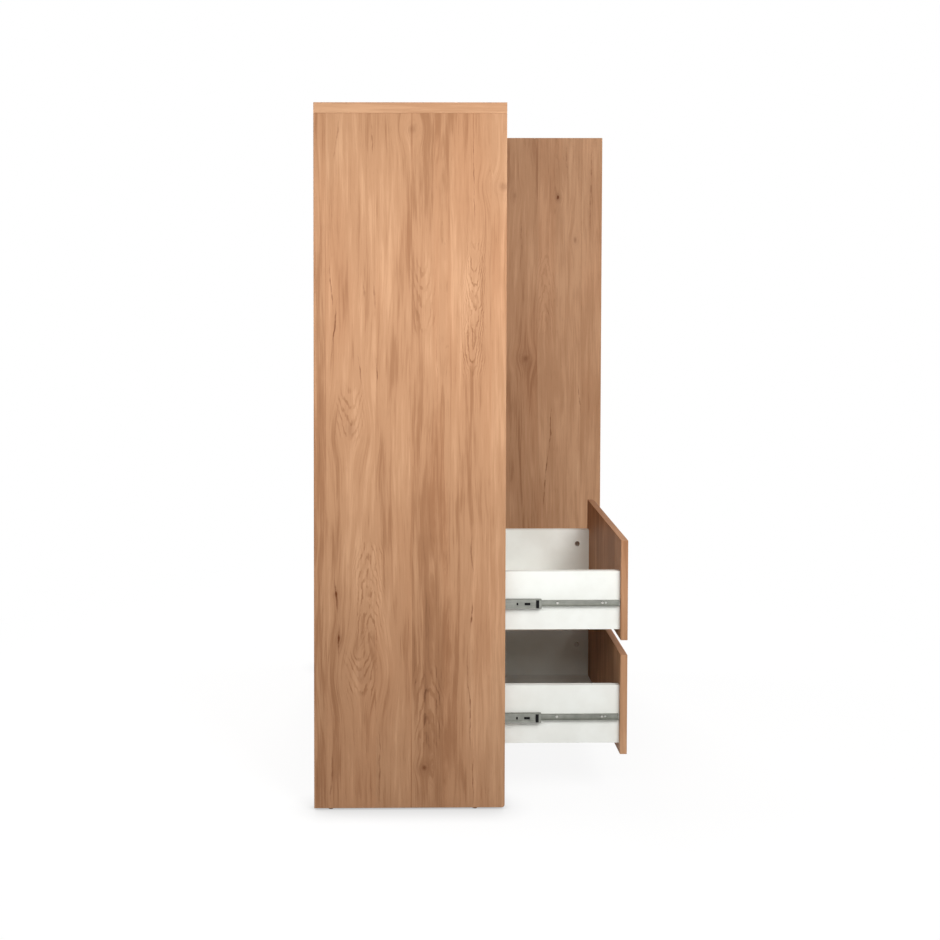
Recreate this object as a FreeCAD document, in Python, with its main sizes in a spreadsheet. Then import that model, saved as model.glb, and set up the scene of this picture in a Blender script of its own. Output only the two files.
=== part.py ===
import FreeCAD, Part
import os
import re
from FreeCAD import Placement, Rotation, Vector

# Highboard: carcass, two doors on cup hinges, two drawers on ball-bearing slides, push latches.
# Millimetres. The front faces -Y, +Z is up, and the origin lies on the floor in the middle of the whole.

# Driving sizes
SIZES = (
    ("overall_width", 850),
    ("overall_depth", 400),
    ("overall_height", 1480),
    ("board", 22),
    ("edge_round", 1),
    ("corner_round", 6),
    ("play", 0.1),
    ("glide_height", 4),
    ("glide_radius", 5.5),
    ("glide_from_front", 62),
    ("glide_from_back", 35),
    ("nail_radius", 1.2),
    ("nail_length", 14),
    ("plinth_height", 75),
    ("plinth_setback", 40),
    ("plinth_thickness", 16),
    ("back_thickness", 3),
    ("back_inset", 10),
    ("groove_depth", 8),
    # Doors and drawer fronts, set in flush with the carcass
    ("front_thickness", 15),
    ("front_gap", 3),
    ("drawer_gap", 4.5),
    ("drawer_front_height", 213),
    ("drawer_out", 262),
    ("right_door_open", 90),
    # Drawer boxes
    ("box_wall", 12),
    ("box_height", 124),
    ("box_length", 350),
    ("box_raise", 21),
    ("box_bottom", 3),
    ("bottom_raise", 12),
    ("bottom_groove", 5),
    # Loose shelves and their pins
    ("shelf_thickness", 16),
    ("shelf_setback", 45),
    ("shelf_end_gap", 1),
    ("shelf_rear_gap", 2),
    ("pin_row_front", 80),
    ("pin_row_back", 70),
    ("hole_pitch", 32),
    ("shelf_pin_radius", 2.5),
    ("shelf_pin_depth", 9),
    ("spoon_length", 10),
    ("spoon_width", 10),
    ("spoon_thickness", 3),
    # Cam fittings and dowels
    ("fitting_front", 80),
    ("fitting_back", 70),
    ("dowel_inset", 45),
    ("cam_radius", 7.5),
    ("cam_depth", 12.5),
    ("cam_reach", 34),
    ("cam_slot", 1.6),
    ("bolt_radius", 3),
    ("bolt_depth", 11),
    ("box_cam_radius", 6),
    ("box_cam_depth", 9),
    ("box_cam_reach", 28),
    ("box_bolt_depth", 10),
    ("box_cam_drop", 34),
    ("box_pin_pitch", 62),
    ("box_dowel_radius", 3),
    ("box_dowel_length", 24),
    ("box_dowel_bite", 10),
    ("dowel_radius", 4),
    ("dowel_length", 30),
    ("dowel_bite", 12),
    ("plinth_dowel_pitch", 40),
    # Cup hinges
    ("pin_edge", 22),
    ("pin_depth", 10),
    ("hinge_end", 100),
    ("hinge_pin_radius", 2),
    ("hinge_pin_play", 0.05),
    ("cup_radius", 17.5),
    ("cup_depth", 11),
    ("cup_wall", 1.3),
    ("flange_thickness", 1.2),
    ("flange_radius", 18.5),
    ("flange_width", 20),
    ("flange_length", 62),
    ("eye_radius", 4),
    ("arm_thickness", 3),
    ("arm_width", 12),
    ("arm_cross", 14),
    ("arm_turn", 30),
    ("arm_length", 66),
    ("plate_thickness", 4),
    ("plate_start", 34),
    ("plate_width", 14),
    ("wing_start", 38),
    ("wing_width", 14),
    ("wing_height", 48),
    # Three-member slides
    ("slide_width", 12.7),
    ("slide_gauge", 1.2),
    ("slide_rise", 57),
    ("slide_setback", 17),
    ("outer_height", 27),
    ("outer_lip", 9.6),
    ("middle_height", 19.5),
    ("middle_short", 43),
    ("middle_setback", 51.5),
    ("middle_near", 2.6),
    ("middle_far", 10.2),
    ("middle_emboss", 1),
    ("emboss_height", 10.8),
    ("slot_height", 5.6),
    ("long_slot_start", 23.5),
    ("long_slot_length", 12.5),
    ("short_slot_start", 49),
    ("short_slot_length", 4),
    ("inner_height", 12),
    ("inner_near", 6),
    ("inner_hole_start", 27.7),
    ("inner_hole_radius", 2.4),
    # Ball cages and the front stop of the middle member
    ("ball_play", 0.05),
    ("cage_gauge", 0.8),
    ("cage_lip", 6),
    ("cage_gap", 0.3),
    ("rear_cage_start", 143),
    ("rear_cage_end", 7),
    ("front_cage_start", 62),
    ("front_cage_length", 66),
    ("ball_inset", 8),
    ("stop_start", 5.3),
    ("stop_length", 6.4),
    ("stop_height", 17),
    ("stop_thickness", 0.9),
    # Push latches
    ("latch_width", 18),
    ("latch_length", 70),
    ("latch_setback", 5),
    ("latch_drop", 160),
    ("plunger_radius", 3.5),
    ("plunger_play", 0.05),
    ("plunger_length", 40),
    ("plunger_bore", 56),
    ("plunger_travel", 10),
    ("touch_gap", 0.3),
)

# Levels and places worked out from the driving sizes
LAYOUT = (
    ("half_width", "overall_width / 2"),
    ("side_face", "half_width - board"),
    ("mid_face", "board / 2"),
    ("column_width", "side_face - mid_face"),
    ("column_middle", "(side_face + mid_face) / 2"),
    ("door_width", "column_width - 2 * front_gap"),
    ("door_reach", "door_width - pin_edge - pin_depth"),
    ("front_y", "(door_reach - overall_depth) / 2"),
    ("rear_y", "front_y + overall_depth"),
    ("back_face", "rear_y - back_inset - back_thickness"),
    ("front_back", "front_y + front_thickness"),
    ("floor_under", "glide_height + plinth_height"),
    ("floor_top", "floor_under + board"),
    ("top_under", "overall_height - board"),
    ("drawer_bay", "drawer_front_height + 2 * drawer_gap"),
    ("divider_under", "floor_top + drawer_bay"),
    ("divider_top", "divider_under + board"),
    ("shelf_under", "divider_top + drawer_bay"),
    ("shelf_top", "shelf_under + board"),
    ("door_top", "top_under - front_gap"),
    ("left_door_bottom", "shelf_top + front_gap"),
    ("right_door_bottom", "floor_top + front_gap"),
    ("hinge_x", "side_face - front_gap - pin_edge"),
    ("hinge_y", "front_y + pin_depth"),
    ("door_inside", "front_thickness - pin_depth"),
    ("drawer_y", "front_y - drawer_out"),
    ("box_front", "drawer_y + front_thickness"),
    ("box_back", "box_front + box_length"),
    ("box_left", "-side_face + slide_width"),
    ("box_right", "-mid_face - slide_width"),
    ("slide_length", "box_length + front_thickness - slide_setback"),
    ("middle_y", "front_y + middle_setback - drawer_out / 2"),
    ("middle_length", "slide_length - middle_short"),
    ("rear_cage_length", "middle_length - rear_cage_start - rear_cage_end"),
    ("outer_race", "outer_height / 2 - slide_gauge"),
    ("middle_half", "middle_height / 2"),
    ("middle_race", "middle_half - slide_gauge"),
    ("inner_half", "inner_height / 2"),
)

LEFT_SHELVES = 2
RIGHT_SHELVES = 4
LEFT_HINGES = 2
RIGHT_HINGES = 3
BALLS_IN_ROW = 3
NEAR = 0.01

TURN = {
    "+x": Rotation(Vector(0, 1, 0), 90),
    "-x": Rotation(Vector(0, 1, 0), -90),
    "+y": Rotation(Vector(1, 0, 0), -90),
    "-y": Rotation(Vector(1, 0, 0), 90),
    "+z": Rotation(),
    "-z": Rotation(Vector(1, 0, 0), 180),
}

doc = FreeCAD.newDocument("highboard")
sheet = doc.addObject("Spreadsheet::Sheet", "Sizes")
for row, (alias, value) in enumerate(SIZES, 1):
    sheet.set("A%d" % row, alias)
    sheet.set("B%d" % row, str(value))
    sheet.setAlias("B%d" % row, alias)
layout = doc.addObject("App::VarSet", "Layout")

OWNER = {alias: "Sizes." + alias for alias, value in SIZES}
OWNER.update({name: "Layout." + name for name, text in LAYOUT})
pieces = []


# Expressions

def named(text):
    """The expression with each size or level written after the object that holds it."""
    return re.sub(r"[a-z]\w*", lambda word: OWNER.get(word.group(), word.group()), text)


def tie(obj, prop, text):
    obj.setExpression(prop, named(text))


def tie_place(obj, point):
    for axis, text in zip("xyz", point):
        tie(obj, "Placement.Base." + axis, text)


def shifted(point, axis, amount):
    """The point moved along an axis such as +x by an amount."""
    moved = list(point)
    place = "xyz".index(axis[1])
    moved[place] = "%s %s (%s)" % (moved[place], axis[0], amount)
    return tuple(moved)


def lane(base, side, near, far):
    """The span from near to far off a base plane, towards plus (side 1) or minus (side -1)."""
    if side > 0:
        return "%s + (%s)" % (base, near), "%s + (%s)" % (base, far)
    return "%s - (%s)" % (base, far), "%s - (%s)" % (base, near)


# Solids

def block(name, x_span, y_span, z_span):
    box = doc.addObject("Part::Box", name)
    for prop, (low, high) in zip(("Length", "Width", "Height"), (x_span, y_span, z_span)):
        tie(box, prop, "(%s) - (%s)" % (high, low))
    tie_place(box, (x_span[0], y_span[0], z_span[0]))
    return box


def rod(name, start, axis, radius, length):
    cylinder = doc.addObject("Part::Cylinder", name)
    cylinder.Placement = Placement(Vector(), TURN[axis])
    tie(cylinder, "Radius", radius)
    tie(cylinder, "Height", length)
    tie_place(cylinder, start)
    return cylinder


def ball(name, centre, radius):
    sphere = doc.addObject("Part::Sphere", name)
    tie(sphere, "Radius", radius)
    tie_place(sphere, centre)
    return sphere


def fused(name, solids):
    if len(solids) == 1:
        return solids[0]
    union = doc.addObject("Part::MultiFuse", name)
    union.Shapes = solids
    union.Refine = True
    return union


def cut(name, base, tools):
    if not tools:
        return base
    result = doc.addObject("Part::Cut", name)
    result.Base = base
    result.Tool = fused(name + "Tools", tools)
    return result


def rounded(name, base, radius, chosen):
    """The solid with a radius on each edge that the test chooses."""
    doc.recompute()
    fillet = doc.addObject("Part::Fillet", name)
    fillet.Base = base
    fillet.Edges = [(n, radius, radius) for n, edge in enumerate(base.Shape.Edges, 1) if chosen(edge)]
    return fillet


def every_edge(edge):
    return True


def in_plane_across_x(edge):
    """An edge that lies in a plane of constant X, as a side panel's outline does."""
    return edge.BoundBox.XLength < NEAR


def front_edge(edge):
    """A long edge of a board at the carcass front."""
    box = edge.BoundBox
    at_front = box.YLength < NEAR and abs(box.YMin - layout.front_y) < NEAR
    return at_front and box.DiagonalLength > 2 * sheet.board


def corner_edge(edge):
    """The lower front corner of a side panel."""
    box = edge.BoundBox
    low = abs(box.ZMax - sheet.glide_height) < NEAR
    return low and abs(box.YMax - layout.front_y) < NEAR


def keep(label, obj):
    """Name a finished sub-part."""
    obj.Label = label
    pieces.append(obj)
    return obj


def keep_group(label, solids):
    group = doc.addObject("Part::Compound", label)
    group.Links = solids
    return keep(label, group)


# Cam fittings and dowels

def fitting(name, seat, along, opens, half, kind, bolt_board, cam_board, cams, bolts):
    """A cam with its bolt: the bolt crosses the seat into the cam board, the cam opens to one face."""
    words = ("cam_radius", "cam_depth", "cam_reach", "bolt_depth")
    radius, depth, reach, bite = (kind + word for word in words)
    back = along.translate(str.maketrans("+-", "-+"))
    inward = opens.translate(str.maketrans("+-", "-+"))
    face = shifted(shifted(seat, along, reach), opens, half)
    start = shifted(seat, back, bite)
    run = "%s + %s" % (bite, reach)
    bore = "bolt_radius + play"
    passage = rod(name + "Bore", shifted(start, back, "play"), along, bore, run + " + play")
    housing = rod(name + "Pocket", face, inward, radius + " + play", depth + " + play")
    disc = rod(name + "Disc", face, inward, radius, depth)
    slot = [("-%s" % radius, radius)] * 3
    slot["xyz".index(opens[1])] = ("-cam_slot", "cam_slot")
    slot["xyz".index(along[1])] = ("-cam_slot / 2", "cam_slot / 2")
    spans = [("%s + %s" % (at, low), "%s + %s" % (at, high)) for at, (low, high) in zip(face, slot)]
    cams.append(cut(name + "Cam", disc, [passage, block(name + "Slot", *spans)]))
    bolts.append(rod(name + "Bolt", start, along, "bolt_radius", run))
    bolt_board.append(passage)
    cam_board.extend((passage, housing))


def dowel(name, seat, along, kind, bite_board, other_board, dowels):
    """A dowel that bites into one board and runs on along its axis into the other."""
    radius, length, bite = (kind + word for word in ("dowel_radius", "dowel_length", "dowel_bite"))
    back = along.translate(str.maketrans("+-", "-+"))
    start = shifted(seat, back, bite)
    dowels.append(rod(name, start, along, radius, length))
    bore = rod(name + "Bore", shifted(start, back, "play"), along, radius + " + play", length + " + 2 * play")
    bite_board.append(bore)
    other_board.append(bore)


FITTING_ROWS = ("front_y + fitting_front", "back_face - fitting_back")
DOWEL_ROWS = ("front_y + fitting_front + dowel_inset", "back_face - fitting_back - dowel_inset")


def board_joint(name, plane, middle, along, opens, bolt_board, cam_board, fixings):
    """Two cam fittings and two dowels between a board's end and the face it meets."""
    for number, (fit_y, dowel_y) in enumerate(zip(FITTING_ROWS, DOWEL_ROWS)):
        spots = []
        for y in (fit_y, dowel_y):
            spots.append((plane, y, middle) if along[1] == "x" else (middle, y, plane))
        mark = "%s%d" % (name, number)
        fitting(mark, spots[0], along, opens, "board / 2", "", bolt_board, cam_board,
                fixings["cams"], fixings["bolts"])
        dowel(mark + "Dowel", spots[1], along, "", bolt_board, cam_board, fixings["dowels"])


def carcass_joints(holes, fixings):
    board_joint("FloorLeft", "-side_face", "floor_under + board / 2", "+x", "-z",
                holes["left"], holes["floor"], fixings)
    board_joint("FloorRight", "side_face", "floor_under + board / 2", "-x", "-z",
                holes["right"], holes["floor"], fixings)
    for name, under in (("Divider", "divider_under"), ("Shelf", "shelf_under")):
        middle = under + " + board / 2"
        board_joint(name + "Left", "-side_face", middle, "+x", "-z", holes["left"], holes[name], fixings)
        board_joint(name + "Mid", "-mid_face", middle, "-x", "-z", holes["mid"], holes[name], fixings)
    board_joint("TopLeft", "top_under", "-half_width + board / 2", "-z", "+x",
                holes["top"], holes["left"], fixings)
    board_joint("TopRight", "top_under", "half_width - board / 2", "-z", "-x",
                holes["top"], holes["right"], fixings)
    board_joint("TopMid", "top_under", "0", "-z", "+x", holes["top"], holes["mid"], fixings)
    board_joint("FloorMid", "floor_top", "0", "+z", "+x", holes["floor"], holes["mid"], fixings)
    plinth_y = "front_y + plinth_setback + plinth_thickness / 2"
    plinth_ends = (("Left", "-side_face", "+x", "left"), ("Right", "side_face", "-x", "right"))
    for name, plane, along, board in plinth_ends:
        for mark, sign in (("Low", "-"), ("High", "+")):
            z = "glide_height + plinth_height / 2 %s plinth_dowel_pitch / 2" % sign
            dowel("Plinth" + name + mark, (plane, plinth_y, z), along, "", holes[board], holes["plinth"],
                  fixings["dowels"])


# Shelves and their pins

def shelf_level(bottom, count, number):
    """The underside of a loose shelf, with the free height shared evenly."""
    space = "(top_under - %s - %d * shelf_thickness) / %d" % (bottom, count, count + 1)
    return "%s + %d * %s + %d * shelf_thickness" % (bottom, number, space, number - 1)


def shelf_pin(name, face, side, y, z, pins, holes):
    axis, back = ("+x", "-x") if side > 0 else ("-x", "+x")
    spot = (face, y, z + " - spoon_thickness")
    start = shifted(spot, back, "shelf_pin_depth")
    stem = rod(name + "Stem", start, axis, "shelf_pin_radius", "shelf_pin_depth + spoon_thickness")
    spoon = block(name + "Spoon", lane(face, side, "0", "spoon_length"),
                  (y + " - spoon_width / 2", y + " + spoon_width / 2"), (z + " - spoon_thickness", z))
    pins.append(fused(name, [stem, spoon]))
    for step in (-1, 0, 1):
        place = shifted(shifted(start, back, "play"), "+z", "%d * hole_pitch" % step)
        holes.append(rod("%sHole%d" % (name, step + 1), place, axis, "shelf_pin_radius + play",
                         "shelf_pin_depth + 2 * play"))


def make_shelves(column, count, bottom, left, right, left_holes, right_holes, pins):
    for number in range(1, count + 1):
        z = shelf_level(bottom, count, number)
        board = block("%sShelf%d" % (column, number), (left + " + shelf_end_gap", right + " - shelf_end_gap"),
                      ("front_y + shelf_setback", "back_face - shelf_rear_gap"),
                      (z, z + " + shelf_thickness"))
        shelf = rounded(board.Name + "Round", board, sheet.edge_round, every_edge)
        keep("%s_shelf_%d" % (column, number), shelf)
        for row, y in (("Front", "front_y + pin_row_front"), ("Back", "back_face - pin_row_back")):
            name = "%sPin%d%s" % (column, number, row)
            shelf_pin(name + "L", left, 1, y, z, pins, left_holes)
            shelf_pin(name + "R", right, -1, y, z, pins, right_holes)


# Carcass

def make_carcass(holes):
    depth = ("front_y", "rear_y")
    inner_depth = ("front_y", "back_face")
    groove_y = ("back_face - play", "back_face + back_thickness + play")
    for label, side in (("left", -1), ("right", 1)):
        panel = block(label + "Side", lane("0", side, "side_face", "half_width"), depth,
                      ("glide_height", "top_under"))
        panel = rounded(label + "SideCorner", panel, sheet.corner_round, corner_edge)
        panel = rounded(label + "SideRound", panel, sheet.edge_round, in_plane_across_x)
        groove = block(label + "SideGroove", lane("0", side, "side_face - play", "side_face + groove_depth"),
                       groove_y, ("glide_height - play", "top_under + play"))
        keep(label + "_side_panel", cut(label + "SideCut", panel, holes[label] + [groove]))
    top = block("Top", ("-half_width", "half_width"), depth, ("top_under", "overall_height"))
    top = rounded("TopRound", top, sheet.edge_round, every_edge)
    reach = "side_face + groove_depth"
    groove = block("TopGroove", ("-(%s)" % reach, reach), groove_y,
                   ("top_under - play", "top_under + groove_depth"))
    keep("top_panel", cut("TopCut", top, holes["top"] + [groove]))
    boards = (
        ("bottom_panel", "floor", ("-side_face", "side_face"), ("floor_under", "floor_top")),
        ("middle_partition", "mid", ("-mid_face", "mid_face"), ("floor_top", "top_under")),
        ("drawer_divider", "Divider", ("-side_face", "-mid_face"), ("divider_under", "divider_top")),
        ("fixed_shelf", "Shelf", ("-side_face", "-mid_face"), ("shelf_under", "shelf_top")),
    )
    for label, key, x_span, z_span in boards:
        board = block(label + "Board", x_span, inner_depth, z_span)
        board = rounded(label + "Round", board, sheet.edge_round, front_edge)
        keep(label, cut(label + "Cut", board, holes[key]))
    plinth_y = ("front_y + plinth_setback", "front_y + plinth_setback + plinth_thickness")
    plinth = block("Plinth", ("-side_face", "side_face"), plinth_y, ("glide_height", "floor_under"))
    keep("plinth_board", cut("PlinthCut", plinth, holes["plinth"]))
    span = "side_face + groove_depth - play"
    keep("back_panel", block("BackPanel", ("-(%s)" % span, span), ("back_face", "back_face + back_thickness"),
                             ("floor_under", "top_under + groove_depth - play")))


def make_glides(holes):
    glides = []
    for label, side in (("left", "-"), ("right", "+")):
        for row, y in (("Front", "front_y + glide_from_front"), ("Back", "rear_y - glide_from_back")):
            spot = ("%s(half_width - board / 2)" % side, y, "glide_height")
            name = label + "Glide" + row
            pad = rod(name + "Pad", spot, "-z", "glide_radius", "glide_height")
            nail = rod(name + "Nail", spot, "+z", "nail_radius", "nail_length")
            glides.append(fused(name, [pad, nail]))
            holes[label].append(rod(name + "Hole", shifted(spot, "-z", "play"), "+z", "nail_radius + play",
                                    "nail_length + 2 * play"))
    keep_group("floor_glides", glides)


# Doors and hinges, drawn round the hinge pin

def hinge_levels(bottom, count):
    first = "%s + hinge_end" % bottom
    run = "(door_top - hinge_end - (%s))" % first
    return ["%s + %d * %s / %d" % (first, n, run, count - 1) for n in range(count)]


def make_cup(name, z):
    """A cup sunk in the door's inner face, with its flange on that face and bores for the pin."""
    rim = ("0", "door_inside + flange_thickness", z)
    body = rod(name + "Body", ("0", "door_inside", z), "-y", "cup_radius", "cup_depth")
    flange = rod(name + "Flange", rim, "-y", "flange_radius", "flange_thickness")
    wings = block(name + "Wings", ("-flange_width / 2", "flange_width / 2"),
                  ("door_inside", "door_inside + flange_thickness"),
                  (z + " - flange_length / 2", z + " + flange_length / 2"))
    hollow = rod(name + "Hollow", rim, "-y", "cup_radius - cup_wall",
                 "flange_thickness + cup_depth - cup_wall")
    bore = rod(name + "Bore", ("0", "0", z + " - cup_radius"), "+z", "hinge_pin_radius + hinge_pin_play",
               "2 * cup_radius")
    return cut(name, fused(name + "Solid", [body, flange, wings]), [hollow, bore])


def make_arm(name, side, z):
    """The fixed arm: an eye on the pin, a slant out of the cup, a bend, and a foot on the plate."""
    half = "arm_thickness / 2"
    base = "%s hinge_x" % ("+" if side > 0 else "-")
    z_span = (z + " - arm_width / 2", z + " + arm_width / 2")
    low = z_span[0]
    foot = "side_face - hinge_x - plate_thickness - " + half
    across = -1 if side > 0 else 1
    solids = [rod(name + "Eye", (base, "hinge_y", low), "+z", "eye_radius", "arm_width")]
    slant = doc.addObject("Part::Box", name + "Slant")
    slant.Placement = Placement(Vector(), Rotation(Vector(0, 0, 1), 135 if side > 0 else 45))
    tie(slant, "Length", "arm_cross * sqrt(2)")
    tie(slant, "Width", "arm_thickness")
    tie(slant, "Height", "arm_width")
    lean = "arm_thickness / (2 * sqrt(2))"
    tie_place(slant, (base + " + " + lean, "hinge_y %s %s" % ("+" if side > 0 else "-", lean), low))
    solids.append(slant)
    neck = lane(base, across, "arm_cross - " + half, "arm_cross + " + half)
    solids.append(block(name + "Neck", neck, ("hinge_y + arm_cross", "hinge_y + arm_turn"), z_span))
    bridge = lane(base, side, "-arm_cross", foot)
    solids.append(block(name + "Bridge", bridge,
                        ("hinge_y + arm_turn - " + half, "hinge_y + arm_turn + " + half), z_span))
    shank = lane(base, side, foot + " - " + half, foot + " + " + half)
    solids.append(block(name + "Shank", shank, ("hinge_y + arm_turn", "hinge_y + arm_length"), z_span))
    bends = (
        ("A", lane(base, across, "arm_cross", "arm_cross")[0], "hinge_y + arm_cross"),
        ("B", lane(base, across, "arm_cross", "arm_cross")[0], "hinge_y + arm_turn"),
        ("C", lane(base, side, foot, foot)[0], "hinge_y + arm_turn"),
    )
    for mark, x, y in bends:
        solids.append(rod(name + "Bend" + mark, (x, y, low), "+z", half, "arm_width"))
    bore = rod(name + "Bore", (base, "hinge_y", low), "+z", "hinge_pin_radius + hinge_pin_play", "arm_width")
    return cut(name, fused(name + "Solid", solids), [bore])


def make_plate(name, side, z):
    base = "%s side_face" % ("+" if side > 0 else "-")
    x_span = lane(base, -side, "0", "plate_thickness")
    strip = block(name + "Strip", x_span, ("hinge_y + plate_start", "hinge_y + arm_length"),
                  (z + " - plate_width / 2", z + " + plate_width / 2"))
    wing = block(name + "Wing", x_span, ("hinge_y + wing_start", "hinge_y + wing_start + wing_width"),
                 (z + " - wing_height / 2", z + " + wing_height / 2"))
    return fused(name, [strip, wing])


def make_door(label, side, bottom, hinges, angle, arms, plates):
    hang = "door_width - pin_edge"
    x_span = ("-(%s)" % hang, "pin_edge") if side > 0 else ("-pin_edge", hang)
    panel = block(label + "Panel", x_span, ("-pin_depth", "door_inside"), (bottom, "door_top"))
    panel = rounded(label + "PanelRound", panel, sheet.edge_round, every_edge)
    pockets, cups, pins = [], [], []
    for number, z in enumerate(hinge_levels(bottom, hinges)):
        name = "%sHinge%d" % (label, number)
        cups.append(make_cup(name + "Cup", z))
        pins.append(rod(name + "Pin", ("0", "0", z + " - cup_radius + cup_wall / 2"), "+z",
                        "hinge_pin_radius", "2 * cup_radius - cup_wall"))
        pockets.append(rod(name + "Pocket", ("0", "door_inside + play", z), "-y", "cup_radius + play",
                           "cup_depth + 2 * play"))
        arms.append(make_arm(name + "Arm", side, z))
        plates.append(make_plate(name + "Plate", side, z))
    door = keep(label + "_door", cut(label + "Door", panel, pockets))
    for piece in (door, keep_group(label + "_hinge_cups", cups), keep_group(label + "_hinge_pins", pins)):
        tie_place(piece, ("%s hinge_x" % ("+" if side > 0 else "-"), "hinge_y", "0"))
        tie(piece, "Placement.Rotation.Angle", angle)


# Slides

def make_slide(name, label, base, side, z):
    """The outer, middle and inner members of one slide, and the parts that ride on its middle member."""
    outer_y = ("front_y + slide_setback", "front_y + slide_setback + slide_length")
    outer = block(name + "OuterBar", lane(base, side, "0", "outer_lip"), outer_y,
                  (z + " - outer_height / 2", z + " + outer_height / 2"))
    channel = block(name + "OuterChannel", lane(base, side, "slide_gauge", "outer_lip + play"),
                    (outer_y[0] + " - play", outer_y[1] + " + play"),
                    (z + " - outer_race", z + " + outer_race"))
    keep(label + "_slide_outer", cut(name + "Outer", outer, [channel]))

    middle_y = ("middle_y", "middle_y + middle_length")
    sunk = "middle_near + middle_emboss"
    solids = [block(name + "Web", lane(base, side, sunk, sunk + " + slide_gauge"), middle_y,
                    (z + " - emboss_height / 2 - slide_gauge", z + " + emboss_height / 2 + slide_gauge"))]
    for mark, up in (("Low", -1), ("High", 1)):
        solids.append(block(name + mark + "Riser", lane(base, side, "middle_near", sunk + " + slide_gauge"),
                            middle_y, lane(z, up, "emboss_height / 2", "emboss_height / 2 + slide_gauge")))
        wall_x = lane(base, side, "middle_near", "middle_near + slide_gauge")
        solids.append(block(name + mark + "Wall", wall_x, middle_y,
                            lane(z, up, "emboss_height / 2", "middle_half")))
        solids.append(block(name + mark + "Flange", lane(base, side, "middle_near", "middle_far"), middle_y,
                            lane(z, up, "middle_race", "middle_half")))
    slots = []
    for mark in ("long_slot", "short_slot"):
        start = "middle_y + %s_start" % mark
        slots.append(block(name + mark, lane(base, side, "middle_near", "middle_far"),
                           (start, start + " + %s_length" % mark),
                           (z + " - slot_height / 2", z + " + slot_height / 2")))
    keep(label + "_slide_middle", cut(name + "Middle", fused(name + "MiddleSolid", solids), slots))

    inner_y = ("drawer_y + slide_setback", "drawer_y + slide_setback + slide_length")
    inner = block(name + "InnerBar", lane(base, side, "inner_near", "slide_width"), inner_y,
                  (z + " - inner_half", z + " + inner_half"))
    hollow = block(name + "InnerChannel", lane(base, side, "inner_near - play", "slide_width - slide_gauge"),
                   (inner_y[0] + " - play", inner_y[1] + " + play"),
                   (z + " - inner_half + slide_gauge", z + " + inner_half - slide_gauge"))
    hole = rod(name + "InnerHole", (lane(base, side, "inner_near", "inner_near")[0],
                                    "drawer_y + slide_setback + inner_hole_start", z),
               "+x" if side > 0 else "-x", "inner_hole_radius", "slide_width")
    keep(label + "_slide_inner", cut(name + "Inner", inner, [hollow, hole]))

    stop = block(name + "Stop", lane(base, side, "middle_near - stop_thickness", "middle_near"),
                 ("middle_y + stop_start", "middle_y + stop_start + stop_length"),
                 (z + " - stop_height / 2", z + " + stop_height / 2"))
    rear = make_cage(name + "Rear", base, side, z, "middle_near - cage_gap", "middle_half", "outer_race",
                     "rear_cage")
    front = make_cage(name + "Front", base, side, z, "inner_near - cage_gap", "inner_half", "middle_race",
                      "front_cage")
    return [stop, rear, front]


def make_cage(name, base, side, z, web_far, inside, outside, key):
    """A strip bent round a member, with a row of balls above it and one below."""
    start = "middle_y + %s_start" % key
    length = key + "_length"
    y_span = (start, "%s + %s" % (start, length))
    web_near = "%s - cage_gauge" % web_far
    track = "(%s + %s) / 2" % (inside, outside)
    edge = "%s + cage_gauge / 2" % track
    ball_radius = "(%s - %s) / 2 - ball_play" % (outside, inside)
    solids = [block(name + "Web", lane(base, side, web_near, web_far), y_span,
                    ("%s - (%s)" % (z, edge), "%s + %s" % (z, edge)))]
    for mark, up in (("Low", -1), ("High", 1)):
        solids.append(block(name + mark, lane(base, side, web_near, web_near + " + cage_lip"), y_span,
                            lane(z, up, edge + " - cage_gauge", edge)))
        for number in range(BALLS_IN_ROW):
            pitch = "(%s - 2 * ball_inset) / %d" % (length, BALLS_IN_ROW - 1)
            y = "%s + ball_inset + %d * %s" % (start, number, pitch)
            x = lane(base, side, web_near + " + cage_lip / 2", "0")[0 if side > 0 else 1]
            centre = (x, y, lane(z, up, track, track)[0])
            solids.append(ball("%s%sBall%d" % (name, mark, number), centre, ball_radius))
    return fused(name, solids)


# Drawers

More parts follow.
